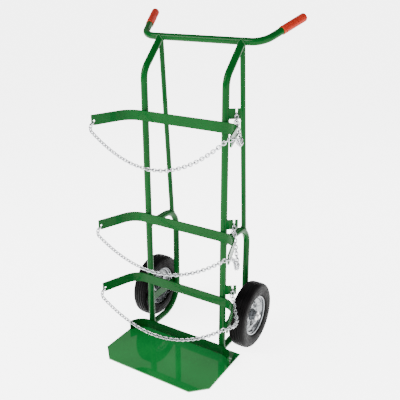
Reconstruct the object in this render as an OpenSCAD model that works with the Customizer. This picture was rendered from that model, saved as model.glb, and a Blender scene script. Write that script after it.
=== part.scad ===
// Cylinder cart for a pair of welding gas cylinders: a welded tube frame with a flat toe plate,
// three bow-shaped cylinder hoops with safety chains, two bent handles with grips and two wheels.
// Millimetres. X is across the cart, Y points to its back and Z is up. The origin is on the
// underside of the toe plate, midway between the two front uprights.

/* [Frame tubes] */
// Outside diameter of the uprights, wheel loops and handlebar
tube_d = 25.4; // [24:0.1:26]
// Wall thickness of those tubes
tube_wall = 2.1; // [1.6:0.1:2.6]
// Outside diameter of the slanted rear braces
brace_d = 19.05; // [17:0.05:20]
// Wall thickness of the braces
brace_wall = 1.65; // [1.2:0.05:2]
// Distance between the centre planes of the two side frames
track = 334; // [330:1:338]
// Height at which the uprights start to bend back
upright_bend_z = 1035; // [1025:1:1040]
// Bend radius of the uprights
upright_bend_r = 75; // [70:1:80]

/* [Handlebar] */
// Height of the handlebar's centre line
handlebar_z = 1176; // [1172:1:1180]
// Distance of the handlebar behind the uprights
handlebar_y = 110; // [108:1:112]
// Half length of the handlebar's straight middle
handlebar_half = 196; // [192:1:200]
// Bend radius of the handles
handle_bend_r = 65; // [60:1:70]
// How far each handle turns back
handle_turn = 69.5; // [66:0.5:72]
// Upward tilt of the handles
handle_tilt = 23; // [20:1:26]
// Straight length of each handle beyond its bend, to the end of the grip
handle_len = 157; // [150:1:160]
// Length of the rubber grip
grip_len = 112; // [105:1:115]
// Diameter of the grip over its ribs
grip_d = 30; // [29:0.5:32]

/* [Wheel loops] */
// Height of the loop's top leg
loop_top_z = 477; // [470:1:484]
// Distance of the loop's rear leg behind the uprights
loop_rear_y = 188; // [186:0.5:190]
// Bend radius at the top of the loop
loop_top_r = 75; // [70:1:78]
// Bend radius at the bottom of the loop
loop_bottom_r = 105; // [103:1:107]

/* [Toe plate] */
// Half width of the toe plate
plate_half = 237; // [232:1:242]
// Distance of the toe plate's front edge from the uprights
plate_front = 266; // [255:1:275]
// Thickness of the toe plate
plate_t = 4.8; // [4:0.1:5]
// Height of the upright strip across the toe plate
rim_h = 38; // [34:1:42]

/* [Cylinder hoops] */
// Height of the top hoop's middle
hoop_top_z = 908; // [900:1:916]
// Height of the middle hoop's middle
hoop_middle_z = 506; // [502:1:512]
// Height of the bottom hoop's middle
hoop_bottom_z = 239; // [232:1:246]
// Height of the hoop's flat bar
hoop_h = 38; // [34:1:40]
// Thickness of the hoop's flat bar
hoop_t = 5; // [4:0.5:5]
// Half length of the hoop's straight middle
hoop_half = 179; // [176:1:182]
// Bend radius of the hoop's corners
hoop_r = 65; // [62:1:68]
// How far each hoop arm turns forward
hoop_turn = 71; // [70:0.5:72]
// Straight length of each hoop arm
hoop_arm = 114; // [112:0.5:116]

/* [Chains] */
// Wire diameter of the chain links
wire_d = 3.6; // [3.5:0.05:3.65]
// Distance from one link to the next
pitch = 12.6; // [12.5:0.1:12.7]
// Lowest point of the top chain, below its hoop's middle
chain_top_low = 134; // [130:1:138]
// Lowest point of the middle chain, below its hoop's middle
chain_middle_low = 119; // [116:1:124]
// Lowest point of the bottom chain, below its hoop's middle
chain_bottom_low = 121; // [118:1:124]

/* [Wheels] */
// Radius of the tyre
wheel_r = 131; // [130:0.5:132]
// Width of the tyre
tyre_w = 65; // [62:1:68]
// Distance of each wheel's middle from the cart's centre plane
wheel_x = 227; // [226.5:0.5:228]
// Distance of the axle behind the uprights
axle_y = 120; // [118:0.5:122]
// Diameter of the axle
axle_d = 15.9; // [15.5:0.1:16.2]

/* [Hidden] */
$fn = 64;

paint = "#1f7a34";
zinc = "#c9ccd0";

// One entry for each hoop and its chain, from the top down
hoop_z = [hoop_top_z, hoop_middle_z, hoop_bottom_z];
chain_low = [chain_top_low, chain_middle_low, chain_bottom_low];
// Depth of the slack beside each right arm, below the straight line
tail_sag = [42, 80, 38];
// Number of spare links that hang behind each keeper
spare_links = [4, 7, 3];

// Gap left at every welded joint, so that each piece stays a solid of its own
weld_gap = 0.05;
// Bends are drawn this much thinner than the straight lengths, and run this far into them, so that
// one bent piece is one solid
bend_step = 0.05;
bend_lap = 0.5;
function lap_angle(radius) = bend_lap / radius * 180 / PI;
side_x = track / 2;
tube_r = tube_d / 2;

// Tubes ---------------------------------------------------------------------------------------

// Cross-section of a tube, or of a solid bar where the wall is 0
module section(d, wall) {
    difference() {
        circle(d = d);
        if (wall > 0) circle(d = d - 2 * wall);
    }
}

// One bend of a tube that starts along +Z and turns towards +X
module bend(d, wall, radius, turn) {
    translate([radius, 0, 0])
        rotate([90, 0, 0])
            rotate([0, 0, 180 - turn - lap_angle(radius)])
                rotate_extrude(angle = turn + 2 * lap_angle(radius))
                    translate([radius, 0])
                        section(d - 2 * bend_step, wall > 0 ? wall - 2 * bend_step : 0);
}

// Moves its children from the start of a bend to the end of it
module after_bend(radius, turn) {
    translate([radius * (1 - cos(turn)), 0, radius * sin(turn)])
        rotate([0, turn, 0])
            children();
}

module straight(d, wall, length) {
    linear_extrude(height = length) section(d, wall);
}

// Front upright: vertical from the toe plate, then bent 45 degrees back to the handlebar
upright_turn = 45;
upright_rise = upright_bend_z + upright_bend_r * sin(upright_turn);
upright_top_len = (handlebar_z - upright_rise) / cos(upright_turn);

module upright_run(d, wall) {
    foot_z = plate_t + weld_gap;
    translate([side_x, 0, foot_z])
        rotate([0, 0, 90]) {
            straight(d, wall, upright_bend_z - foot_z);
            translate([0, 0, upright_bend_z - foot_z]) {
                bend(d, wall, upright_bend_r, upright_turn);
                after_bend(upright_bend_r, upright_turn) straight(d, wall, upright_top_len);
            }
        }
}

// The handlebar's right half, and its frame at the start of the handle's straight part
module handle_frame() {
    translate([handlebar_half, handlebar_y, handlebar_z])
        rotate([90 + handle_tilt, 0, 0])
            rotate([0, 90, 0])
                children();
}

module handlebar_run(d, wall) {
    translate([-handlebar_half, handlebar_y, handlebar_z])
        rotate([0, 90, 0])
            straight(d, wall, 2 * handlebar_half);
    for (flip = [0, 1])
        mirror([flip, 0, 0])
            handle_frame() {
                bend(d, wall, handle_bend_r, handle_turn);
                after_bend(handle_bend_r, handle_turn) straight(d, wall, handle_len - grip_end_t - weld_gap);
            }
}

module handlebar() color(paint) handlebar_run(tube_d, tube_wall);

module upright(flip) {
    color(paint)
        mirror([flip, 0, 0])
            difference() {
                upright_run(tube_d, tube_wall);
                handlebar_run(tube_d + 2 * weld_gap, 0);
            }
}

// Wheel loop: from the upright back, down behind the wheel and forward again to the upright's foot
loop_foot_gap = 2.6;
loop_foot_z = plate_t + tube_r + loop_foot_gap;
loop_rear_low = loop_foot_z + loop_bottom_r;
loop_top_len = loop_rear_y - loop_top_r;

module loop_run(d, wall) {
    translate([side_x, 0, loop_top_z])
        rotate([0, 90, 90]) {
            straight(d, wall, loop_top_len);
            translate([0, 0, loop_top_len]) {
                bend(d, wall, loop_top_r, 90);
                after_bend(loop_top_r, 90) {
                    rear_len = loop_top_z - loop_top_r - loop_rear_low;
                    straight(d, wall, rear_len);
                    translate([0, 0, rear_len]) {
                        bend(d, wall, loop_bottom_r, 90);
                        after_bend(loop_bottom_r, 90)
                            straight(d, wall, loop_rear_y - loop_bottom_r);
                    }
                }
            }
        }
}

module wheel_loop(flip) {
    color(paint)
        mirror([flip, 0, 0])
            difference() {
                loop_run(tube_d, tube_wall);
                upright_run(tube_d + 2 * weld_gap, 0);
            }
}

// Rear brace: from the handlebar down to the wheel loop's upper bend
brace_foot_y = 161;
brace_foot_z = loop_top_z - loop_top_r * (1 - cos(asin((brace_foot_y - loop_top_len) / loop_top_r)));
brace_lean = atan2(brace_foot_y - handlebar_y, handlebar_z - brace_foot_z);
brace_len = norm([brace_foot_y - handlebar_y, handlebar_z - brace_foot_z]);

module brace(flip) {
    color(paint)
        mirror([flip, 0, 0])
            difference() {
                translate([side_x, handlebar_y, handlebar_z])
                    rotate([180 + brace_lean, 0, 0])
                        straight(brace_d, brace_wall, brace_len);
                handlebar_run(tube_d + 2 * weld_gap, 0);
                upright_run(tube_d + 2 * weld_gap, 0);
                loop_run(tube_d + 2 * weld_gap, 0);
            }
}

// Grips ---------------------------------------------------------------------------------------

grip_end_t = 4;
grip_rib_step = 5;
grip_rib_deep = 0.8;
grip_round = 6;

// Half profile of a grip: ribbed along its length, rounded at the closed end
module grip_profile() {
    outer = grip_d / 2;
    ribs = floor((grip_len - 2 * grip_round) / grip_rib_step);
    difference() {
        union() {
            square([outer, grip_len - grip_round]);
            translate([0, grip_len - grip_round]) square([outer - grip_round, grip_round]);
            intersection() {
                translate([outer - grip_round, grip_len - grip_round]) circle(r = grip_round);
                square([outer, grip_len]);
            }
        }
        square([tube_r + weld_gap, grip_len - grip_end_t]);
        for (i = [1 : ribs])
            translate([outer - grip_rib_deep, i * grip_rib_step])
                square([grip_rib_deep * 2, grip_rib_step / 3]);
    }
}

module grip(flip) {
    color("#d9431f")
        mirror([flip, 0, 0])
            handle_frame()
                after_bend(handle_bend_r, handle_turn)
                    translate([0, 0, handle_len - grip_len])
                        rotate_extrude() grip_profile();
}

// Toe plate and its strip -----------------------------------------------------------------------

plate_back = 22;
plate_corner = 55;

module toe_plate() {
    color(paint)
        linear_extrude(height = plate_t)
            polygon([
                [-plate_half, plate_back], [-plate_half, plate_corner - plate_front],
                [plate_corner - plate_half, -plate_front], [plate_half - plate_corner, -plate_front],
                [plate_half, plate_corner - plate_front], [plate_half, plate_back]
            ]);
}

// Bow-shaped flat bar, seen from above: straight across the front of the uprights, round both
// corners and forward along both arms. Arms may end in a rounded lower corner and a chain hole.
bar_y = -tube_r - weld_gap;

module bow_middle(half, h) {
    translate([-half, bar_y - hoop_t, -h / 2]) cube([2 * half, hoop_t, h]);
}

module bow_half(half, arm, h, corner_r, hole_d) {
    arc_y = bar_y - hoop_t / 2 - hoop_r;
    translate([half, arc_y, -h / 2])
        rotate([0, 0, 90 - hoop_turn - lap_angle(hoop_r)])
            rotate_extrude(angle = hoop_turn + 2 * lap_angle(hoop_r))
                translate([hoop_r - hoop_t / 2 + bend_step, bend_step])
                    square([hoop_t - 2 * bend_step, h - 2 * bend_step]);
    translate([half + hoop_r * sin(hoop_turn), arc_y + hoop_r * cos(hoop_turn), 0])
        rotate([0, 0, -hoop_turn])
            difference() {
                translate([0, -hoop_t / 2, -h / 2]) cube([arm, hoop_t, h]);
                if (corner_r > 0)
                    translate([arm - corner_r, 0, corner_r - h / 2])
                        rotate([90, 0, 0])
                            difference() {
                                translate([0, -2 * corner_r, -hoop_t])
                                    cube([2 * corner_r, 2 * corner_r, 2 * hoop_t]);
                                cylinder(r = corner_r, h = 4 * hoop_t, center = true);
                            }
                if (hole_d > 0)
                    translate([arm - hole_inset, 0, -hole_drop])
                        rotate([90, 0, 0])
                            cylinder(d = hole_d, h = 2 * hoop_t, center = true);
            }
}

rim_half = 168;
rim_arm = 9;

module toe_rim() {
    color(paint)
        translate([0, 0, plate_t + weld_gap + rim_h / 2]) {
            bow_middle(rim_half, rim_h);
            for (flip = [0, 1])
                mirror([flip, 0, 0])
                    bow_half(rim_half, rim_arm, rim_h, 0, 0);
        }
}

// Cylinder hoops -------------------------------------------------------------------------------

hole_inset = 9.5;
hole_drop = 4;
hole_d = 10.6;
tip_corner_r = 12;

module hoop(level) {
    color(paint)
        translate([0, 0, hoop_z[level]]) {
            bow_middle(hoop_half, hoop_h);
            bow_half(hoop_half, hoop_arm, hoop_h, tip_corner_r, 0);
            mirror([1, 0, 0]) bow_half(hoop_half, hoop_arm, hoop_h, tip_corner_r, hole_d);
        }
}

// Chain keepers: slotted plates on the right upright, angled back -------------------------------

keeper_turn = 38;
keeper_y = -8.6;
keeper_end = 50;
keeper_slot_x = 35.6;
keeper_slot_w = 6.4;
keeper_slot_deep = 25;
keeper_t = 4;
keeper_h = 36;
keeper_rise = 45;

module chain_keeper(level) {
    slot_low = keeper_h - keeper_slot_deep;
    color(paint)
        difference() {
            translate([side_x, 0, hoop_z[level] + keeper_rise])
                rotate([0, 0, keeper_turn])
                    translate([0, keeper_y - keeper_t / 2, -keeper_h / 2])
                        difference() {
                            cube([keeper_end, keeper_t, keeper_h]);
                            translate([keeper_slot_x - keeper_slot_w / 2, -keeper_t, slot_low])
                                cube([keeper_slot_w, 3 * keeper_t, keeper_h]);
                            translate([keeper_slot_x, keeper_t / 2, slot_low])
                                rotate([90, 0, 0])
                                    cylinder(d = keeper_slot_w, h = 3 * keeper_t, center = true);
                        }
            translate([side_x, 0, hoop_z[level] + keeper_rise])
                cylinder(d = tube_d + 2 * weld_gap, h = 2 * keeper_h, center = true);
        }
}

// Axle and its plates --------------------------------------------------------------------------

axle_plate_t = 5;
axle_plate_h = 34;
axle_plate_low = 110;
axle_plate_x = side_x + tube_r + weld_gap;
axle_plate_front = -2;
axle_plate_rear = loop_rear_y + 6;
axle_hole_d = axle_d + 0.2;
hub_half = 29;
spacer_gap = 0.3;
washer_t = 2.5;
washer_d = 32;
pin_d = 3.2;
pin_len = 32;
spacer_x = axle_plate_x + axle_plate_t + weld_gap;
washer_x = wheel_x + hub_half + spacer_gap;
pin_gap = 0.4;
pin_hole_d = pin_d + 0.3;
pin_eye_r = 4;
pin_x = washer_x + washer_t + pin_d / 2 + pin_gap;
axle_end = 7;
axle_half = pin_x + axle_end;
spacer_d = 26;

module axle_plate(flip) {
    color(paint)
        mirror([flip, 0, 0])
            difference() {
                translate([axle_plate_x, axle_plate_front, axle_plate_low])
                    cube([axle_plate_t, axle_plate_rear - axle_plate_front, axle_plate_h]);
                translate([axle_plate_x - axle_plate_t, axle_y, wheel_r])
                    rotate([0, 90, 0])
                        cylinder(d = axle_hole_d, h = 3 * axle_plate_t);
            }
}

// A round piece on the right half of the axle, from distance start, along +X
module on_axle(start) {
    translate([start, axle_y, wheel_r])
        rotate([0, 90, 0])
            children();
}

module axle() {
    color(zinc)
        difference() {
            on_axle(-axle_half) cylinder(d = axle_d, h = 2 * axle_half);
            for (side = [-1, 1])
                translate([side * pin_x, axle_y, wheel_r])
                    cylinder(d = pin_hole_d, h = 2 * axle_d, center = true);
        }
}

module ring(d, bore, h) {
    linear_extrude(height = h)
        difference() {
            circle(d = d);
            circle(d = bore);
        }
}

module axle_spacers() {
    color(zinc)
        for (flip = [0, 1])
            mirror([flip, 0, 0])
                on_axle(spacer_x) ring(spacer_d, axle_hole_d, wheel_x - hub_half - spacer_gap - spacer_x);
}

module axle_washers() {
    color(zinc)
        for (flip = [0, 1])
            mirror([flip, 0, 0])
                on_axle(washer_x) ring(washer_d, axle_hole_d, washer_t);
}

// Split pins: a straight shank through the axle with a round eye on top
module cotter_pins() {
    color(zinc)
        for (flip = [0, 1])
            mirror([flip, 0, 0])
                translate([pin_x, axle_y, wheel_r]) {
                    translate([0, 0, -pin_len / 2]) cylinder(d = pin_d, h = pin_len - pin_eye_r);
                    translate([0, 0, pin_len / 2])
                        rotate([0, 90, 0])
                            rotate_extrude() translate([pin_eye_r, 0]) circle(d = pin_d, $fn = 24);
                }
}

// Wheels, drawn with their outer side towards +Z -------------------------------------------------

module wheel_place(flip) {
    mirror([flip, 0, 0]) on_axle(wheel_x) children();
}

// Half section of the tyre: a squared-off oval with grooves round the tread
tyre_bead_r = 76;
tyre_bead_deep = 6;
tyre_mid_r = (wheel_r + tyre_bead_r - tyre_bead_deep) / 2;
tyre_half_h = wheel_r - tyre_mid_r;
tyre_square = 2.6;
groove_w = 2.6;
groove_deep = 2.4;
groove_places = [-16.5, -5.5, 5.5, 16.5];
// Where the tyre gives way to the rim: its seat and the lip beside each bead
seat_r = tyre_bead_r + 1.8;
lip_r = 80;
rim_lip_z = 22;
lip_clear = 0.3;

function oval(a) = [
    tyre_mid_r + tyre_half_h * sign(cos(a)) * pow(abs(cos(a)), 2 / tyre_square),
    tyre_w / 2 * sign(sin(a)) * pow(abs(sin(a)), 2 / tyre_square)
];

module tyre(flip) {
    color("#2b2928")
        wheel_place(flip)
            rotate_extrude($fn = 128)
                difference() {
                    polygon([for (a = [0 : 7.5 : 352.5]) oval(a)]);
                    translate([0, -tyre_w]) square([seat_r, 2 * tyre_w]);
                    for (side = [0, 1])
                        mirror([0, side])
                            translate([0, rim_lip_z - lip_clear]) square([lip_r + lip_clear, tyre_w]);
                    for (s = groove_places)
                        translate([wheel_r - groove_deep, s - groove_w / 2])
                            square([2 * groove_deep, groove_w]);
                }
}

// Half section of a pressed rim half: flat web, dished wall and a lip round the tyre's bead
rim_t = 1.8;
web_r = 55;
collar_r = 19.6;
rim_face = rim_t + 0.6;
rim_seat_r = seat_r - 0.2;
dish_r = 68;
dish_z = 8;
seat_z = 16;
cone_r = 30;
collar_h = 18;

module rim_half_disc() {
    rotate_extrude($fn = 128)
        polygon([
            [collar_r, weld_gap], [web_r, weld_gap], [dish_r, dish_z], [dish_r + 3, seat_z],
            [rim_seat_r, seat_z + 0.5], [rim_seat_r, rim_lip_z], [lip_r, rim_lip_z + 2],
            [lip_r - 2, rim_lip_z + 3.4], [rim_seat_r - 2.6, rim_lip_z + 2],
            [rim_seat_r - 3.6, rim_lip_z - 3.6], [dish_r + 1.5, rim_lip_z - 4.4],
            [dish_r - 1.5, dish_z + 2], [web_r - 1.5, rim_face], [cone_r, rim_face],
            [cone_r - 6, rim_face + 2.6], [collar_r + 2.4, collar_h], [collar_r, collar_h]
        ]);
}

bolt_d = 8;
bolt_circle_r = 42;
bolt_head_d = 14.4;
bolt_head_h = 6;
bolt_nut_h = 5.3;
bearing_d = 35;
bearing_t = 11;
bearing_bore_gap = 0.1;
hub_bore = 32;
hub_inset = 1;

// Five bolts, and five round openings between them
rim_spokes = 5;
opening_r = 43;
opening_d = 19;

module rim_bolt_places() {
    for (i = [0 : rim_spokes - 1])
        rotate([0, 0, (i + 0.5) * 360 / rim_spokes]) translate([bolt_circle_r, 0, 0]) children();
}

module rim_openings() {
    for (i = [0 : rim_spokes - 1])
        rotate([0, 0, i * 360 / rim_spokes])
            translate([opening_r, 0, 0])
                cylinder(d = opening_d, h = 4 * collar_h, center = true);
}

module rim_half_part(flip, inner) {
    color(zinc)
        wheel_place(flip)
            mirror([0, 0, inner])
                difference() {
                    rim_half_disc();
                    rim_bolt_places() cylinder(d = bolt_d + 0.4, h = 4 * collar_h, center = true);
                    rim_openings();
                }
}

module hub_tube(flip) {
    hub_len = 2 * (hub_half - hub_inset);
    seat_len = bearing_t - hub_inset + weld_gap;
    color(zinc)
        wheel_place(flip)
            difference() {
                cylinder(r = collar_r - weld_gap, h = hub_len, center = true);
                cylinder(d = hub_bore, h = 2 * hub_len, center = true);
                for (side = [0, 1])
                    mirror([0, 0, side])
                        translate([0, 0, hub_len / 2 - seat_len])
                            cylinder(d = bearing_d + 2 * weld_gap, h = hub_len);
            }
}

module bearings(flip) {
    color("#9a9da1")
        wheel_place(flip)
            for (side = [0, 1])
                mirror([0, 0, side])
                    translate([0, 0, hub_half - bearing_t])
                        ring(bearing_d, axle_d + bearing_bore_gap, bearing_t);
}

module rim_bolts(flip) {
    shank_len = 16;
    color(zinc)
        wheel_place(flip)
            rim_bolt_places() {
                cylinder(d = bolt_d, h = shank_len, center = true);
                translate([0, 0, rim_face + weld_gap]) cylinder(d = bolt_head_d, h = bolt_nut_h, $fn = 6);
                translate([0, 0, -rim_face - weld_gap - bolt_head_h])
                    cylinder(d = bolt_head_d, h = bolt_head_h, $fn = 6);
            }
}

// Chains ---------------------------------------------------------------------------------------

// A link lies along X, from one joint point to the next. Each end wire stands half_joint beyond
// its joint point, so that two linked wires keep a small gap.
link_gap = 7.2;
link_slack = 0.6;
half_joint = (wire_d + link_slack) / 2;
link_bend_r = (link_gap + wire_d) / 2;
link_straight = pitch + 2 * half_joint - 2 * link_bend_r;

module link() {
    for (end = [0, 1])
        mirror([end, 0, 0])
            translate([link_straight / 2, 0, 0])
                rotate([0, 0, -90])
                    rotate_extrude(angle = 180, $fn = 32)
                        translate([link_bend_r, 0])
                            circle(d = wire_d, $fn = 16);
    for (side = [-1, 1])
        translate([-link_straight / 2, side * link_bend_r, 0])
            rotate([0, 90, 0])
                cylinder(d = wire_d, h = link_straight, $fn = 16);
}

// Places a link between two joint points; across is the direction over its opening
module link_between(a, b, across) {
    way = unit(b - a);
    side = unit(across - way * (across * way));
    third = cross(way, side);
    mid = (a + b) / 2;
    multmatrix([
        [way[0], side[0], third[0], mid[0]],
        [way[1], side[1], third[1], mid[1]],
        [way[2], side[2], third[2], mid[2]]
    ])
        link();
}

function unit(v) = v / norm(v);

// Each link lies at a right angle to the one before it; past link number twist_from each joint
// turns by twist more
function next_side(way, side, turn) =
    let (flat = unit(side - way * (side * way)))
    flat * cos(turn) + cross(way, flat) * sin(turn);
function link_sides(points, first_side, twist_from, twist) =
    [for (i = 0, side = first_side; i < len(points) - 1;
          i = i + 1,
          side = i < len(points) - 1
              ? next_side(unit(points[i + 1] - points[i]), side, i > twist_from ? 90 + twist : 90)
              : side) side];

// A slack joint, for links that turn sharply
slack_pitch = pitch - 0.8;

// Left end: the anchor link goes through the hole in the left arm, round the arm's lower corner
arm_way = [-cos(hoop_turn), -sin(hoop_turn), 0];
arm_normal = [sin(hoop_turn), -cos(hoop_turn), 0];
tip_x = hoop_half + hoop_r * sin(hoop_turn) + hoop_arm * cos(hoop_turn);
tip_y = bar_y - hoop_t / 2 - hoop_r * (1 - cos(hoop_turn)) - hoop_arm * sin(hoop_turn);
anchor_way = unit(arm_way - [0, 0, 1]);
anchor_in = 2.2;
turn_ways = [unit([0.05, -0.5, -0.86]), unit([0.42, -0.24, -0.87])];
function hole_point(level) = [-tip_x, tip_y, hoop_z[level] - hole_drop] - arm_way * hole_inset;
function anchor_start(level) = hole_point(level) + anchor_way * (anchor_in + half_joint);
function anchor_end(level) = anchor_start(level) + anchor_way * pitch;
function turn_end(level) = anchor_end(level) + turn_ways[0] * slack_pitch;
function span_start(level) = turn_end(level) + turn_ways[1] * slack_pitch;

// Curves that sag: a parabola of the given width and rise, low below its chord at mid width
function parabola_z(x, rise, width, low) = rise * x / width - 4 * low * (x / width) * (1 - x / width);
function parabola_slope(x, rise, width, low) = rise / width - 4 * low / width * (1 - 2 * x / width);
function next_x(x, rise, width, low, step, tries) =
    tries == 0 ? x + step / norm([1, parabola_slope(x, rise, width, low)])
               : let (guess = next_x(x, rise, width, low, step, tries - 1))
                 x + step / norm([1, parabola_slope((x + guess) / 2, rise, width, low)]);
function walk(rise, width, low, step, count) =
    [for (i = 0, x = 0; i <= count; x = next_x(x, rise, width, low, step, 3), i = i + 1) x];
length_steps = 200;
function curve_length(rise, width, low) =
    width / length_steps * sum([
        for (i = [0.5 : length_steps]) norm([1, parabola_slope(i * width / length_steps, rise, width, low)])
    ]);
function sum(list) = list * [for (i = list) 1];

// Right end: four links lead round the tip of the right arm
corner_links = 4;
corner_turn = 112;
corner_start = [tip_x - 9, tip_y - 16];
corner_rise = 4;
corner_in_slope = 42;
corner_out_slope = [-35, -52, -33];
function corner_way(level, n) =
    let (
        part = n / (corner_links + 1),
        turn = corner_turn * part,
        slope = corner_in_slope + (corner_out_slope[level] - corner_in_slope) * part
    )
    [cos(slope) * cos(turn), cos(slope) * sin(turn), sin(slope)];
function corner_point(level, n) =
    n == 0 ? [corner_start[0], corner_start[1], hoop_z[level] + corner_rise]
           : corner_point(level, n - 1) + corner_way(level, n) * slack_pitch;

// Hanging span between the two arms
function span_sag(level) =
    let (drop = hoop_z[level] + corner_rise - span_start(level)[2])
    chain_low[level] + corner_rise - drop / 2 - drop * drop / (16 * chain_low[level]);
function span_points(level) =
    let (
        a = span_start(level),
        b = corner_point(level, 0),
        width = norm([b[0] - a[0], b[1] - a[1]]),
        rise = b[2] - a[2],
        low = span_sag(level),
        total = curve_length(rise, width, low),
        count = round(total / pitch)
    )
    [for (x = walk(rise, width, low, total / count, count))
        a + [(b[0] - a[0]) * x / width, (b[1] - a[1]) * x / width, parabola_z(x, rise, width, low)]];

// Tail: from the right arm's tip, slack along the arm's outer side, up to the keeper's slot
keeper_way = [cos(keeper_turn), sin(keeper_turn), 0];
keeper_normal = [sin(keeper_turn), -cos(keeper_turn), 0];
slot_clear = 1;
slot_floor = keeper_rise + keeper_h / 2 - keeper_slot_deep - keeper_slot_w / 2;
slot_link_z = slot_floor + slot_clear + wire_d / 2 + link_bend_r;
slot_wire = 4.3;
function slot_point(level) =
    [side_x, 0, hoop_z[level] + slot_link_z] + keeper_way * keeper_slot_x - keeper_normal * keeper_y;
// Links hang from both ends of the slot link, leaning out from the keeper
front_lean = 26;
spare_lean = 28;
front_way = keeper_normal * sin(front_lean) - [0, 0, cos(front_lean)];
spare_way = -keeper_normal * sin(spare_lean) - [0, 0, cos(spare_lean)];
function tail_end(level) = slot_point(level) + keeper_normal * slot_wire + front_way * half_joint;
function front_end(level) = tail_end(level) + front_way * slack_pitch;
knee = [262, -62];
// The last link but one, steeper than the curve on its way to the keeper
tail_up = unit([-0.34, 0.42, 0.84]);

function tail_points(level) =
    let (
        a = corner_point(level, corner_links),
        b = front_end(level) - tail_up * slack_pitch,
        leg_1 = norm([knee[0] - a[0], knee[1] - a[1]]),
        leg_2 = norm([b[0] - knee[0], b[1] - knee[1]]),
        width = leg_1 + leg_2,
        rise = b[2] - a[2],
        low = tail_sag[level],
        total = curve_length(rise, width, low),
        count = round(total / slack_pitch)
    )
    [for (x = walk(rise, width, low, total / count, count))
        let (
            plan = x < leg_1 ? [a[0], a[1]] + (knee - [a[0], a[1]]) * x / leg_1
                             : knee + ([b[0], b[1]] - knee) * (x - leg_1) / leg_2
        )
        [plan[0], plan[1], a[2] + parabola_z(x, rise, width, low)]];

// Every joint point of one chain, from its anchor link to the keeper
function chain_points(level) =
    concat(
        [anchor_start(level), anchor_end(level), turn_end(level)],
        span_points(level),
        [for (n = [1 : corner_links - 1]) corner_point(level, n)],
        tail_points(level),
        [front_end(level), tail_end(level)]
    );

// The anchor, the two turning links and the span's first link stay with the frame, and so does its last link,
// so that the part that swings hangs between two straight joints
swing_first = 4;
function swing_last(level) = swing_first + len(span_points(level)) - 3;

// The tail twists evenly, so that its last link faces the keeper
function half_turn(angle) = angle - 180 * round(angle / 180);
function chain_sides(level, points) =
    let (
        twist_from = swing_last(level) + corner_links,
        plain = link_sides(points, arm_normal, 0, 0),
        end = plain[len(plain) - 1],
        twist = half_turn(atan2(cross(end, keeper_way)[2], end * keeper_way))
    )
    link_sides(points, arm_normal, twist_from, twist / (len(plain) - 1 - twist_from));

module links(level, first, last) {
    points = chain_points(level);
    sides = chain_sides(level, points);
    color(zinc)
        for (i = [first : last])
            link_between(points[i], points[i + 1], sides[i]);
}

module chain_span(level) links(level, swing_first, swing_last(level) - 1);

// Spare links hang behind the keeper from the link in its slot
module chain_tail(level) {
    points = chain_points(level);
    last = len(points) - 2;
    slot = slot_point(level);
    spare_start = slot - keeper_normal * slot_wire + spare_way * half_joint;
    spare_top = spare_start + spare_way * slack_pitch;
    links(level, swing_last(level) + 1 + corner_links, last);
    color(zinc) {
        link_between(slot + keeper_normal * pitch / 2, slot - keeper_normal * pitch / 2, [0, 0, 1]);
        link_between(spare_start, spare_top, keeper_way);
        for (i = [0 : spare_links[level] - 2])
            link_between(
                spare_top - [0, 0, i * pitch], spare_top - [0, 0, (i + 1) * pitch],
                i % 2 == 0 ? keeper_normal : keeper_way
            );
    }
}

module chain_anchor_links() {
    for (level = [0 : 2]) {
        links(level, 0, swing_first - 1);
        links(level, swing_last(level), swing_last(level) + corner_links);
    }
}

toe_plate();
toe_rim();
upright(1);  // upright_left
upright(0);  // upright_right
handlebar();
brace(1);  // brace_left
brace(0);  // brace_right
wheel_loop(1);  // wheel_loop_left
wheel_loop(0);  // wheel_loop_right
hoop(0);  // hoop_top
hoop(1);  // hoop_middle
hoop(2);  // hoop_bottom
chain_keeper(0);  // chain_keeper_top
chain_keeper(1);  // chain_keeper_middle
chain_keeper(2);  // chain_keeper_bottom
axle_plate(1);  // axle_plate_left
axle_plate(0);  // axle_plate_right
axle();
axle_spacers();
axle_washers();
cotter_pins();
grip(1);  // grip_left
grip(0);  // grip_right
tyre(1);  // tyre_left
tyre(0);  // tyre_right
rim_half_part(1, 0);  // rim_outer_left
rim_half_part(0, 0);  // rim_outer_right
rim_half_part(1, 1);  // rim_inner_left
rim_half_part(0, 1);  // rim_inner_right
hub_tube(1);  // hub_tube_left
hub_tube(0);  // hub_tube_right
bearings(1);  // bearings_left
bearings(0);  // bearings_right
rim_bolts(1);  // rim_bolts_left
rim_bolts(0);  // rim_bolts_right
chain_span(0);  // chain_top
chain_span(1);  // chain_middle
chain_span(2);  // chain_bottom
chain_tail(0);  // chain_tail_top
chain_tail(1);  // chain_tail_middle
chain_tail(2);  // chain_tail_bottom
chain_anchor_links();
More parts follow.
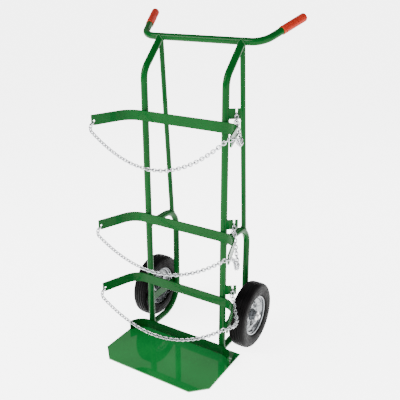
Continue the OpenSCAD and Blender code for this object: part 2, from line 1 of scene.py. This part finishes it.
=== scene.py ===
import bpy
from math import asin, cos, exp, pi, radians, sin, sqrt
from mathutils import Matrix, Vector


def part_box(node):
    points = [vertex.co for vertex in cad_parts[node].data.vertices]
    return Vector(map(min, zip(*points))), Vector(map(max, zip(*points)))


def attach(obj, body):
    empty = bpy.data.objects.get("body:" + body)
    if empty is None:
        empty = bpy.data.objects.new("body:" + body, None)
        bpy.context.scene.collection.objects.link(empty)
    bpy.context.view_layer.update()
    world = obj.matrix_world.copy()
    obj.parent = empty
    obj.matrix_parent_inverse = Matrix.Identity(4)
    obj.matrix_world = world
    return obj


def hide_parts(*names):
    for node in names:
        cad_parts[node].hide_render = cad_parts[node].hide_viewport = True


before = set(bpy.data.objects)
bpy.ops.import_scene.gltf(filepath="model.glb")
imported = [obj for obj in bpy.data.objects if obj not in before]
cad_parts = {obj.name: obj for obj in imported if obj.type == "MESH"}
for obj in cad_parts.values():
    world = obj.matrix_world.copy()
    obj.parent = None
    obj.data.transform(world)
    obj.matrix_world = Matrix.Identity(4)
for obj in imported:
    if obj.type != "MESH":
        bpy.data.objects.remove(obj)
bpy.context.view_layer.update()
MM = 0.001
X, Y, Z = Vector((1, 0, 0)), Vector((0, 1, 0)), Vector((0, 0, 1))

# Camera ------------------------------------------------------------------------------------------

# The view that was fitted to the photograph, in degrees
CAMERA_TURN = 31.52
CAMERA_DOWN = 21.28

camera = bpy.data.objects.new("camera", bpy.data.cameras.new("camera"))
bpy.context.scene.collection.objects.link(camera)
camera.location = (1.0740, -1.6418, 1.3729)
camera.rotation_euler = (radians(90 - CAMERA_DOWN), 0, radians(CAMERA_TURN))
camera.data.sensor_width = 36
camera.data.lens = 51.3
camera.data.clip_end = 200
bpy.context.scene.camera = camera


# Materials ---------------------------------------------------------------------------------------

# Colours are linear. Noise and cell scales are per metre, and a bump's distance is in metres.
class Shader:
    """A material under construction: short calls that add nodes and join them."""

    def __init__(self, name, color, roughness, metallic=0.0):
        self.material = bpy.data.materials.new(name)
        self.material.use_nodes = True
        self.material.diffuse_color = (*color, 1)
        self.nodes = self.material.node_tree.nodes
        self.links = self.material.node_tree.links
        self.surface = self.nodes["Principled BSDF"]
        self.surface.inputs["Base Color"].default_value = (*color, 1)
        self.surface.inputs["Roughness"].default_value = roughness
        self.surface.inputs["Metallic"].default_value = metallic
        self.place = self.nodes.new("ShaderNodeTexCoord").outputs["Object"]
        self.bumps = None

    def join(self, source, socket):
        self.links.new(source, socket)

    def moved(self, offset=(0, 0, 0), scale=(1, 1, 1)):
        """Object coordinates, shifted and then scaled."""
        node = self.nodes.new("ShaderNodeMapping")
        node.vector_type = "POINT"
        node.inputs["Location"].default_value = [o * s for o, s in zip(offset, scale)]
        node.inputs["Scale"].default_value = scale
        self.join(self.place, node.inputs["Vector"])
        return node.outputs["Vector"]

    def noise(self, scale, detail=3.0, rough=0.55, at=None):
        node = self.nodes.new("ShaderNodeTexNoise")
        node.inputs["Scale"].default_value = scale
        node.inputs["Detail"].default_value = detail
        node.inputs["Roughness"].default_value = rough
        self.join(at or self.place, node.inputs["Vector"])
        return node.outputs["Fac"]

    def cells(self, scale, at=None):
        node = self.nodes.new("ShaderNodeTexVoronoi")
        node.inputs["Scale"].default_value = scale
        self.join(at or self.place, node.inputs["Vector"])
        return node.outputs["Color"]

    def math(self, kind, a, b=0.0):
        node = self.nodes.new("ShaderNodeMath")
        node.operation = kind
        for value, socket in zip((a, b), node.inputs):
            if isinstance(value, (int, float)):
                socket.default_value = value
            else:
                self.join(value, socket)
        return node.outputs[0]

    def spread(self, value, low, high, to_low=0.0, to_high=1.0):
        """value from low..high to to_low..to_high, held at both ends."""
        node = self.nodes.new("ShaderNodeMapRange")
        self.join(value, node.inputs["Value"])
        for key, number in (("From Min", low), ("From Max", high), ("To Min", to_low), ("To Max", to_high)):
            node.inputs[key].default_value = number
        return node.outputs["Result"]

    def pointiness(self):
        return self.nodes.new("ShaderNodeNewGeometry").outputs["Pointiness"]

    def openness(self, reach):
        """1 where nothing is near, and less in the gap between pieces that are closer than reach."""
        node = self.nodes.new("ShaderNodeAmbientOcclusion")
        node.samples = 4
        node.inputs["Distance"].default_value = reach
        return node.outputs["AO"]

    def mix(self, factor, a, b):
        """Colour a where factor is 0, and colour b where it is 1."""
        node = self.nodes.new("ShaderNodeMix")
        node.data_type = "RGBA"
        self.join(factor, node.inputs["Factor"])
        for value, key in ((a, 6), (b, 7)):
            if isinstance(value, tuple):
                node.inputs[key].default_value = (*value, 1)
            else:
                self.join(value, node.inputs[key])
        return node.outputs[2]

    def bump(self, height, distance, strength=1.0):
        node = self.nodes.new("ShaderNodeBump")
        node.inputs["Strength"].default_value = strength
        node.inputs["Distance"].default_value = distance
        self.join(height, node.inputs["Height"])
        if self.bumps is not None:
            self.join(self.bumps, node.inputs["Normal"])
        self.bumps = node.outputs["Normal"]

    def done(self, color, roughness=None):
        self.join(color, self.surface.inputs["Base Color"])
        if roughness is not None:
            self.join(roughness, self.surface.inputs["Roughness"])
        if self.bumps is not None:
            self.join(self.bumps, self.surface.inputs["Normal"])
        return self.material


def green_paint(name, shine, deep, pale, coat):
    """Gloss enamel: cloudy colour between deep and pale, orange peel, fine scratches and small chips."""
    s = Shader(name, deep, shine)
    cloud = s.spread(s.noise(3.5, 3.0), 0.35, 0.68)
    color = s.mix(cloud, deep, pale)
    speck = s.spread(s.noise(260.0, 2.0), 0.66, 0.76, 0.0, 0.5)
    color = s.mix(speck, color, (0.0008, 0.026, 0.0035))
    streak = s.noise(16.0, 5.0, 0.7, at=s.moved(scale=(9, 9, 1)))
    color = s.mix(s.spread(streak, 0.62, 0.80, 0.0, 0.30), color, (0.0060, 0.092, 0.0170))
    chip = s.spread(s.noise(75.0, 6.0, 0.75), 0.70, 0.73, 0.0, 0.55)
    color = s.mix(chip, color, (0.022, 0.090, 0.034))
    rough = s.spread(s.noise(22.0, 4.0), 0.3, 0.7, shine - 0.05, shine + 0.12)
    s.bump(s.noise(420.0, 2.0), 0.0006, 0.08)
    s.bump(s.noise(60.0, 3.0), 0.0010, 0.05)
    s.surface.inputs["Specular IOR Level"].default_value = 0.04
    s.surface.inputs["Coat Weight"].default_value = coat
    s.surface.inputs["Coat Roughness"].default_value = 0.03
    return s.done(color, rough)


def zinc(name, bright, dark, rough_low, rough_high, painted_shade):
    """Plated steel: crystals of two tones, hazy patches, and painted shade in hollows and narrow gaps."""
    s = Shader(name, bright, rough_low, 1.0)
    grain = s.spread(s.cells(150.0), 0.0, 1.0)
    color = s.mix(grain, dark, bright)
    haze = s.spread(s.noise(28.0, 4.0, 0.65), 0.38, 0.66)
    color = s.mix(s.math("MULTIPLY", haze, 0.45), color, tuple(0.82 * c for c in bright))
    # Painted shade: the colour darkens in the hollows of the surface.
    hollow_shade = s.spread(s.pointiness(), 0.44, 0.495, painted_shade, 0.0)
    color = s.mix(hollow_shade, color, (0.10, 0.10, 0.10))
    # Painted shade: the colour darkens to near black in narrow gaps between pieces.
    gap = s.spread(s.openness(0.007), 0.35, 0.92, painted_shade, 0.0)
    color = s.mix(gap, color, (0.045, 0.045, 0.047))
    rough = s.spread(s.noise(75.0, 5.0, 0.7), 0.3, 0.7, rough_low, rough_high)
    s.bump(s.noise(520.0, 3.0, 0.6), 0.0004, 0.16)
    s.bump(s.noise(90.0, 2.0), 0.0010, 0.08)
    return s.done(color, rough)


RING_STEP = 0.0022


def tyre_rubber(name, center):
    """Moulded rubber: fine rings on the side walls, dust in clouds, painted shade in the grooves and
    scuffed edges.
    """
    s = Shader(name, (0.030, 0.027, 0.026), 0.62)
    local = s.moved(offset=[-c for c in center])
    flat = s.nodes.new("ShaderNodeVectorMath")
    flat.operation = "MULTIPLY"
    flat.inputs[1].default_value = (0, 1, 1)
    s.join(local, flat.inputs[0])
    length = s.nodes.new("ShaderNodeVectorMath")
    length.operation = "LENGTH"
    s.join(flat.outputs[0], length.inputs[0])
    radius = length.outputs["Value"]
    rings = s.math("SINE", s.math("MULTIPLY", radius, 2 * pi / RING_STEP))
    dust = s.spread(s.noise(16.0, 5.0, 0.65), 0.42, 0.72, 0.0, 0.55)
    color = s.mix(dust, (0.0024, 0.0022, 0.0024), (0.0070, 0.0060, 0.0060))
    # Painted shade: the colour darkens to near black in the grooves and other hollows.
    hollow_shade = s.spread(s.pointiness(), 0.42, 0.49, 0.5, 0.0)
    color = s.mix(hollow_shade, color, (0.0010, 0.0010, 0.0010))
    scuff = s.spread(s.pointiness(), 0.52, 0.60, 0.0, 0.35)
    color = s.mix(scuff, color, (0.010, 0.0095, 0.0095))
    rough = s.spread(s.noise(45.0, 4.0), 0.3, 0.7, 0.42, 0.62)
    s.bump(s.noise(650.0, 3.0), 0.0005, 0.22)
    s.bump(rings, 0.00035, 0.35)
    s.surface.inputs["Specular IOR Level"].default_value = 0.04
    return s.done(color, rough)


def grip_rubber(name):
    """Soft orange-red grips: moulded grain, darker handling marks, and a darker colour in the hollows
    between the ribs.
    """
    s = Shader(name, (0.62, 0.085, 0.030), 0.5)
    cloud = s.spread(s.noise(26.0, 4.0), 0.35, 0.70)
    color = s.mix(cloud, (0.25, 0.0080, 0.0030), (0.19, 0.0050, 0.0022))
    # Darker in the hollows between the ribs.
    darker_between_ribs = s.spread(s.pointiness(), 0.43, 0.495, 0.6, 0.0)
    color = s.mix(darker_between_ribs, color, (0.10, 0.010, 0.006))
    pale = s.spread(s.pointiness(), 0.52, 0.58, 0.0, 0.35)
    color = s.mix(pale, color, (0.46, 0.050, 0.020))
    rough = s.spread(s.noise(60.0, 3.0), 0.3, 0.7, 0.38, 0.58)
    s.bump(s.noise(800.0, 2.0), 0.0004, 0.25)
    s.surface.inputs["Specular IOR Level"].default_value = 0.10
    return s.done(color, rough)


def weld_metal(name):
    """A bead that was painted over: the paint's colour, lumpier and a little duller."""
    s = Shader(name, (0.0012, 0.055, 0.0068), 0.30)
    color = s.mix(s.spread(s.noise(120.0, 3.0), 0.4, 0.7), (0.0010, 0.044, 0.0052), (0.0030, 0.070, 0.0110))
    soot = s.spread(s.noise(45.0, 4.0), 0.55, 0.72, 0.0, 0.5)
    color = s.mix(soot, color, (0.0010, 0.020, 0.0035))
    s.surface.inputs["Specular IOR Level"].default_value = 0.25
    s.bump(s.noise(500.0, 3.0), 0.0006, 0.3)
    return s.done(color, s.spread(s.noise(90.0, 2.0), 0.3, 0.7, 0.24, 0.42))


def dress(node, material):
    """Gives a CAD node its one material."""
    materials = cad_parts[node].data.materials
    materials.clear()
    materials.append(material)


# PAINT and LIT_PLATE_PAINT are one green enamel in two copies: the plate's copy is lighter, which is
# painted light on the plate that faces up, and the frame's copy is darker, which is painted shade on its
# upright tubes.
PAINT = green_paint("green_enamel", shine=0.20, deep=(0.0004, 0.038, 0.0045), pale=(0.0010, 0.050, 0.0070),
                    coat=0.04)
LIT_PLATE_PAINT = green_paint("green_enamel_plate_lit", shine=0.10, deep=(0.0040, 0.115, 0.0190),
                          pale=(0.0080, 0.150, 0.0280), coat=0.85)
# The last number of each zinc sets how strong its painted shade in hollows and gaps is.
CHAIN_ZINC = zinc("chain_zinc", (0.52, 0.53, 0.55), (0.30, 0.31, 0.33), 0.10, 0.28, 0.85)
WHEEL_ZINC = zinc("wheel_zinc", (0.25, 0.26, 0.27), (0.15, 0.16, 0.17), 0.18, 0.36, 0.9)
AXLE_ZINC = zinc("axle_zinc", (0.80, 0.80, 0.81), (0.66, 0.66, 0.67), 0.30, 0.50, 0.15)
BEARING_STEEL = zinc("bearing_steel", (0.62, 0.62, 0.63), (0.50, 0.50, 0.51), 0.28, 0.42, 0.25)
GRIP = grip_rubber("grip_rubber")
WELD = weld_metal("painted_weld")

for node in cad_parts:
    if node.startswith("chain_keeper"):
        dress(node, PAINT)
    elif node.startswith("chain_"):
        dress(node, CHAIN_ZINC)
    elif node.startswith("grip_"):
        dress(node, GRIP)
    elif node.startswith(("rim_", "hub_tube")):
        dress(node, WHEEL_ZINC)
    elif node.startswith("bearings"):
        dress(node, BEARING_STEEL)
    elif node in ("axle", "axle_spacers", "axle_washers", "cotter_pins"):
        dress(node, AXLE_ZINC)
    elif node == "toe_plate":
        dress(node, LIT_PLATE_PAINT)
    else:
        dress(node, PAINT)


# Mesh helpers ------------------------------------------------------------------------------------

def make_piece(name, verts, faces, material, body):
    """A smooth-shaded visual piece that rides on a body."""
    mesh = bpy.data.meshes.new(name)
    mesh.from_pydata([tuple(v) for v in verts], [], faces)
    mesh.update()
    for face in mesh.polygons:
        face.use_smooth = True
    mesh.materials.append(material)
    piece = bpy.data.objects.new(name, mesh)
    bpy.context.scene.collection.objects.link(piece)
    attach(piece, body)
    return piece


def spin(profile, count):
    """Verts and faces of a closed (radius, along) profile turned about the X axis."""
    verts, faces = [], []
    n = len(profile)
    for i in range(count):
        turn = 2 * pi * i / count
        for r, x in profile:
            verts.append((x, r * cos(turn), r * sin(turn)))
    for i in range(count):
        for j in range(n):
            a, b = i * n + j, i * n + (j + 1) % n
            c, d = ((i + 1) % count) * n + (j + 1) % n, ((i + 1) % count) * n + j
            faces.append((a, b, c, d))
    return verts, faces


# Weld beads --------------------------------------------------------------------------------------

BEAD_SIDES = 10
BEAD_MIN_STEPS = 12
# How many radii a bead's rings and ripples are apart, and the depth of a ripple as a part of the radius
BEAD_RING_STEP = 0.3
RIPPLE_STEP = 1.1
RIPPLE_DEPTH = 0.16
# An open bead's rounded ends: how square they are, and the least square of its thickness there
END_POWER = 8
END_LEAST = 0.02
# A direction that no bead runs along, which the rings are turned from
ASIDE = Vector((0.31, 0.22, 0.92))

bead_parts = ([], [])


def add_bead(points, radius, closed):
    """Adds a rippled bead along a path of points, in metres, to the weld_beads piece."""
    verts, faces = bead_parts
    first = len(verts)
    sides = BEAD_SIDES
    length = sum((b - a).length for a, b in zip(points, points[1:]))
    steps = max(BEAD_MIN_STEPS, int(length / (radius * BEAD_RING_STEP)))
    lengths = [0.0]
    for a, b in zip(points, points[1:]):
        lengths.append(lengths[-1] + (b - a).length)
    path, at = [], 0
    for i in range(steps + 1):
        goal = length * i / steps
        while at < len(lengths) - 2 and lengths[at + 1] < goal:
            at += 1
        part = (goal - lengths[at]) / max(lengths[at + 1] - lengths[at], 1e-9)
        path.append(points[at].lerp(points[at + 1], part))
    rings = steps if closed else steps + 1
    for i in range(rings):
        before = path[(i - 1) % steps] if closed else path[max(i - 1, 0)]
        after = path[(i + 1) % steps] if closed else path[min(i + 1, steps)]
        way = (after - before).normalized()
        side = way.cross(ASIDE)
        side = (side if side.length > 0.1 else way.cross(X)).normalized()
        up = way.cross(side)
        ripple = radius * (1 + RIPPLE_DEPTH * sin(2 * pi * i * length / steps / (radius * RIPPLE_STEP)))
        if not closed:
            ripple *= sqrt(max(END_LEAST, 1 - (2 * i / steps - 1) ** END_POWER))
        for k in range(sides):
            turn = 2 * pi * k / sides
            verts.append(path[i] + (side * cos(turn) + up * sin(turn)) * ripple)
    for i in range(steps):
        for k in range(sides):
            a = first + (i % rings) * sides + k
            b = first + (i % rings) * sides + (k + 1) % sides
            c = first + ((i + 1) % rings) * sides + (k + 1) % sides
            d = first + ((i + 1) % rings) * sides + k
            faces.append((a, b, c, d))
    if not closed:
        faces.append(tuple(first + k for k in reversed(range(sides))))
        faces.append(tuple(first + steps * sides + k for k in range(sides)))


# Points on a saddle or a ring
AROUND = 48


def saddle(start, way, r, axis_point, axis, axis_r):
    """The closed line where a tube, coming from start along way, meets the surface of another tube."""
    way, axis = way.normalized(), axis.normalized()
    u = way.orthogonal().normalized()
    v = way.cross(u)
    points = []
    for i in range(AROUND + 1):
        turn = 2 * pi * i / AROUND
        p = start + (u * cos(turn) + v * sin(turn)) * r
        d = way - axis * way.dot(axis)
        w = (p - axis_point) - axis * (p - axis_point).dot(axis)
        a, b, c = d.dot(d), 2 * d.dot(w), w.dot(w) - axis_r ** 2
        inside = max(b * b - 4 * a * c, 0)
        points.append(p + way * ((-b - sqrt(inside)) / (2 * a)))
    return points


# Radii of tubes and beads, and places in the frame that the beads follow
TUBE_R = 12.7 * MM
BRACE_R = 9.525 * MM
BEAD = 2.6 * MM
FILLET = 1.9 * MM
TACK = 1.8 * MM
HANDLE_AXIS = Vector((0, 110, 1176)) * MM
LOOP_BEND_R = 75 * MM
LOOP_FOOT_GAP = 2.6 * MM
BRACE_FOOT_Y = 161 * MM
# How far back on a tube's middle line the search for its saddle starts
RUN_UP = 100 * MM
FOOT_RUN_UP = 50 * MM
RING_LIFT = 1 * MM
# The straight fillets: behind each hoop, at the axle plates' ends and along the chain keepers
HOOP_FILLET_X = 4.6 * MM
HOOP_FILLET_Y = -12.2 * MM
HOOP_FILLET_HALF = 17 * MM
PLATE_FILLET_Y = 4.8 * MM
PLATE_FILLET_IN = 1.5 * MM
PLATE_FILLET_SHORT = 3 * MM
KEEPER_FILLETS = ((9.5 * MM, 9.6 * MM), (12.4 * MM, 3.0 * MM))
KEEPER_FILLET_SHORT = 2 * MM
# The tacks along both sides of the upright strip on the toe plate
TACKS = 5
TACK_STEP = 75 * MM
TACK_HALF = 16 * MM
TACK_LIFT = 0.6 * MM
TACK_SIDES_Y = (-13.0 * MM, -17.9 * MM)

plate_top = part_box("toe_plate")[1][2]
loop_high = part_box("wheel_loop_right")[1]
loop_top_z = loop_high[2] - TUBE_R
side_x = (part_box("upright_right")[0][0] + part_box("upright_right")[1][0]) / 2
loop_foot = Vector((0, TUBE_R, plate_top + TUBE_R + LOOP_FOOT_GAP))
foot_turn = asin((BRACE_FOOT_Y - (loop_high[1] - TUBE_R - LOOP_BEND_R)) / LOOP_BEND_R)
brace_foot = Vector((0, BRACE_FOOT_Y, loop_top_z - LOOP_BEND_R * (1 - cos(foot_turn))))
hoop_levels = {}
for name in ("top", "middle", "bottom"):
    low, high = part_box("hoop_" + name)
    hoop_levels[name] = (low[2] + high[2]) / 2
plate_low, plate_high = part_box("axle_plate_right")


def upright_bead(x, y, low, high, radius):
    """A straight bead up the line at x, y."""
    add_bead([Vector((x, y, low)), Vector((x, y, high))], radius, False)


for sx in (-1, 1):
    at = X * sx * side_x
    top = at + HANDLE_AXIS
    add_bead(saddle(top - (Y + Z) * RUN_UP, Y + Z, TUBE_R, top, X, TUBE_R), BEAD, True)
    add_bead(saddle(at + Y * RUN_UP + Z * loop_top_z, -Y, TUBE_R, at, Z, TUBE_R), BEAD, True)
    add_bead(saddle(at + loop_foot + Y * FOOT_RUN_UP, -Y, TUBE_R, at, Z, TUBE_R), BEAD, True)
    foot = at + brace_foot
    add_bead(saddle(foot + (top - foot) * 0.5, top - foot, BRACE_R, top, X, TUBE_R), BEAD, True)
    tangent = Vector((0, cos(foot_turn), -sin(foot_turn)))
    add_bead(saddle(foot + (top - foot) * 0.5, foot - top, BRACE_R, foot, tangent, TUBE_R), BEAD, True)
    turns = [2 * pi * i / AROUND for i in range(AROUND + 1)]
    ring = [at + Vector((TUBE_R * cos(t), TUBE_R * sin(t), plate_top + RING_LIFT)) for t in turns]
    add_bead(ring, BEAD, True)
    for z in hoop_levels.values():
        for edge in (-1, 1):
            upright_bead(sx * side_x + edge * HOOP_FILLET_X, HOOP_FILLET_Y,
                         z - HOOP_FILLET_HALF, z + HOOP_FILLET_HALF, FILLET)
    for y in (PLATE_FILLET_Y, plate_high[1] - PLATE_FILLET_IN):
        upright_bead(plate_low[0] * sx, y,
                     plate_low[2] + PLATE_FILLET_SHORT, plate_high[2] - PLATE_FILLET_SHORT, FILLET)

for i in range(TACKS):
    x = (i - (TACKS - 1) / 2) * TACK_STEP
    z = plate_top + TACK_LIFT
    for y in TACK_SIDES_Y:
        add_bead([Vector((x - TACK_HALF, y, z)), Vector((x + TACK_HALF, y, z))], TACK, False)

for name in hoop_levels:
    low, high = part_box("chain_keeper_" + name)
    for dx, y in KEEPER_FILLETS:
        upright_bead(side_x + dx, y, low[2] + KEEPER_FILLET_SHORT, high[2] - KEEPER_FILLET_SHORT, FILLET)

make_piece("weld_beads", bead_parts[0], bead_parts[1], WELD, "frame")


# Wheels ------------------------------------------------------------------------------------------

TYRE_SEGMENTS = 192


def tyre_profile():
    """Closed (radius, along) outline: ribs, shoulder, ringed wall and bead of one half, then its mirror."""
    half = [
        (130.6, 0.0), (130.6, 4.2), (128.2, 4.7), (128.2, 6.6), (130.5, 7.1), (130.3, 14.9),
        (128.0, 15.4), (128.0, 17.4), (129.9, 17.9), (129.0, 22.8), (126.8, 23.6), (126.6, 24.8),
        (127.4, 25.6), (125.2, 28.0), (122.0, 30.0), (120.4, 30.4), (120.0, 31.2), (117.0, 31.8),
        (116.0, 31.3), (113.0, 31.7), (112.0, 32.3), (103.0, 32.4), (102.0, 31.8), (100.4, 31.8),
        (99.4, 32.3), (92.0, 31.0), (91.0, 30.3), (89.4, 30.0), (88.2, 30.4), (84.8, 28.4),
        (82.4, 25.6), (80.9, 22.4), (80.4, 21.4), (78.2, 21.3), (78.0, 12.0), (78.0, 4.0),
    ]
    half = [(r * MM, x * MM) for r, x in half]
    return half + [(r, -x) for r, x in reversed(half[1:])]


def wheel_center(side):
    """The middle of a wheel, in metres."""
    low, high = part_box("tyre_" + side)
    return Vector([(low[k] + high[k]) / 2 for k in range(3)])


for side in ("left", "right"):
    center = wheel_center(side)
    verts, faces = spin(tyre_profile(), TYRE_SEGMENTS)
    verts = [Vector(v) + center for v in verts]
    rubber = tyre_rubber("tyre_rubber_" + side, center)
    tyre = make_piece("tyre_tread_" + side, verts, faces, rubber, "wheel_" + side)
    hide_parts("tyre_" + side)


# The pressed skin that lies on a rim half, in mm. RIM_SURFACE has the (radius, height) corners of the CAD
# rim's outer side, with the height from the wheel's middle plane.
RIM_SPOKES = 5
OPENING_AT = 43.0
OPENING_R = 9.5
RIM_SURFACE = [(24.2, 5.0), (30.0, 2.4), (53.5, 2.4), (66.5, 10.0), (69.0, 16.6)]
SKIN_T = 0.35
# A rib's height, its half width at its inner end, how fast it widens outwards, where its side slopes,
# as parts of its half width, and the radii between which it rises and falls
RIB_H = 4.2
RIB_HALF = 7.5
RIB_WIDEN = 0.10
RIB_FROM = 26
RIB_SIDE = (0.45, 1.35)
RIB_RISE = (25.0, 33.0)
RIB_FALL = (62.0, 68.2)
# The raised lip round an opening and the swell round the disc: height, place and width
LIP_H = 1.5
LIP_OUT = 1.6
LIP_WIDE = 1.5
SWELL_H = 1.2
SWELL_R = 57.0
SWELL_WIDE = 3.0
# How far outside an opening the skin is cut
CUT_OUT = 0.3
# The skin's grid: its inner radius, the step between its rings, and their numbers
SKIN_FROM = 24.5
SKIN_STEP = 0.75
SKIN_RINGS = 59
SKIN_SEGMENTS = 240
# The rolled edge of an opening: how far its middle line is outside the opening and above the wheel's
# middle plane, and half its width and height
ROLL_OUT = 0.9
ROLL_UP = 3.4
ROLL_HALF_W = 1.25
ROLL_HALF_H = 1.5
ROLL_SEGMENTS = 40
ROLL_SIDES = 10


def surface_height(r):
    """Height of the CAD rim's outer side above the wheel's middle plane, at radius r, in mm."""
    for (r0, z0), (r1, z1) in zip(RIM_SURFACE, RIM_SURFACE[1:]):
        if r <= r1:
            return z0 + (z1 - z0) * (r - r0) / (r1 - r0)
    return RIM_SURFACE[-1][1]


def smooth(low, high, x):
    """0 up to low, 1 from high on, and a smooth rise between them."""
    t = min(max((x - low) / (high - low), 0.0), 1.0)
    return t * t * (3 - 2 * t)


def pressed_height(r, turn):
    """Height of the pressed skin at radius r and its distance from the nearest opening's middle, in mm."""
    step = 2 * pi / RIM_SPOKES
    off = (turn + step / 2) % step - step / 2
    to_rib = abs(step / 2 - abs(off)) * r
    half = RIB_HALF + RIB_WIDEN * (r - RIB_FROM)
    rib = 1 - smooth(RIB_SIDE[0] * half, RIB_SIDE[1] * half, to_rib)
    ends = smooth(*RIB_RISE, r) * (1 - smooth(*RIB_FALL, r))
    to_hole = sqrt((r * cos(off) - OPENING_AT) ** 2 + (r * sin(off)) ** 2)
    lip = exp(-((to_hole - OPENING_R - LIP_OUT) / LIP_WIDE) ** 2)
    swell = exp(-((r - SWELL_R) / SWELL_WIDE) ** 2)
    return surface_height(r) + SKIN_T + RIB_H * rib * ends + LIP_H * lip + SWELL_H * swell, to_hole


def pressed_face(center, sx, side_in):
    """The pressed skin of one rim half, as verts and faces. sx is -1 at the left and 1 at the right."""
    out = -sx if side_in else sx
    verts, faces = [], []
    radii = [SKIN_FROM + SKIN_STEP * k for k in range(SKIN_RINGS)]
    count = SKIN_SEGMENTS
    holes = set()
    for j, r in enumerate(radii):
        for i in range(count):
            turn = 2 * pi * i / count
            height, to_hole = pressed_height(r, turn)
            if to_hole < OPENING_R + CUT_OUT:
                holes.add(len(verts))
            verts.append(center + Vector((out * height, r * sin(turn), -r * cos(turn))) * MM)
    for j in range(len(radii) - 1):
        for i in range(count):
            k = (i + 1) % count
            corners = (j * count + i, j * count + k, (j + 1) * count + k, (j + 1) * count + i)
            if not any(c in holes for c in corners):
                faces.append(corners)
    for i in range(RIM_SPOKES):
        turn = 2 * pi * i / RIM_SPOKES
        middle = (OPENING_AT * sin(turn), -OPENING_AT * cos(turn))
        first, around, sides = len(verts), ROLL_SEGMENTS, ROLL_SIDES
        for k in range(around):
            a = 2 * pi * k / around
            for m in range(sides):
                b = 2 * pi * m / sides
                ring = OPENING_R + ROLL_OUT + ROLL_HALF_W * cos(b)
                height = ROLL_UP + ROLL_HALF_H * sin(b)
                place = Vector((out * height, middle[0] + ring * cos(a), middle[1] + ring * sin(a)))
                verts.append(center + place * MM)
        for k in range(around):
            for m in range(sides):
                k2, m2 = (k + 1) % around, (m + 1) % sides
                faces.append((first + k * sides + m, first + k * sides + m2,
                              first + k2 * sides + m2, first + k2 * sides + m))
    return verts, faces


for side, sx in (("left", -1), ("right", 1)):
    center = wheel_center(side)
    for label, side_in in (("outer", False), ("inner", True)):
        verts, faces = pressed_face(center, sx, side_in)
        face = make_piece("rim_face_%s_%s" % (label, side), verts, faces, WHEEL_ZINC, "wheel_" + side)


# Stage -------------------------------------------------------------------------------------------

FLOOR_GLOW = 4.8
FLOOR_HALF = 60
WORLD_GLOW = 0.55


def stage_floor():
    """A plain floor, pale enough to be lost in the background."""
    mesh = bpy.data.meshes.new("floor")
    corners = [(x * FLOOR_HALF, y * FLOOR_HALF, 0) for x, y in ((-1, -1), (1, -1), (1, 1), (-1, 1))]
    mesh.from_pydata(corners, [], [(0, 1, 2, 3)])
    floor = bpy.data.objects.new("floor", mesh)
    bpy.context.scene.collection.objects.link(floor)
    s = Shader("floor_white", (0.93, 0.93, 0.93), 0.6)
    s.surface.inputs["Emission Color"].default_value = (1, 1, 1, 1)
    s.surface.inputs["Emission Strength"].default_value = FLOOR_GLOW
    mesh.materials.append(s.done(s.mix(s.noise(3.0, 2.0), (0.92, 0.92, 0.92), (0.94, 0.94, 0.94))))


def area_light(name, place, aim, size, power):
    """A square lamp at place, turned towards aim."""
    light = bpy.data.lights.new(name, "AREA")
    light.shape = "SQUARE"
    light.size = size
    light.energy = power
    lamp = bpy.data.objects.new(name, light)
    lamp.location = place
    lamp.rotation_euler = (Vector(aim) - Vector(place)).to_track_quat("-Z", "Y").to_euler()
    bpy.context.scene.collection.objects.link(lamp)


stage_floor()
world = bpy.data.worlds.new("studio")
world.use_nodes = True
world.node_tree.nodes["Background"].inputs["Color"].default_value = (1, 1, 1, 1)
world.node_tree.nodes["Background"].inputs["Strength"].default_value = WORLD_GLOW
bpy.context.scene.world = world
area_light("key", (-1.6, -2.4, 2.9), (0, 0, 0.5), 1.8, 210)
area_light("fill", (2.6, -1.2, 1.6), (0, 0, 0.6), 1.5, 35)
area_light("back", (0.6, 2.6, 2.6), (0, 0, 0.6), 1.5, 35)
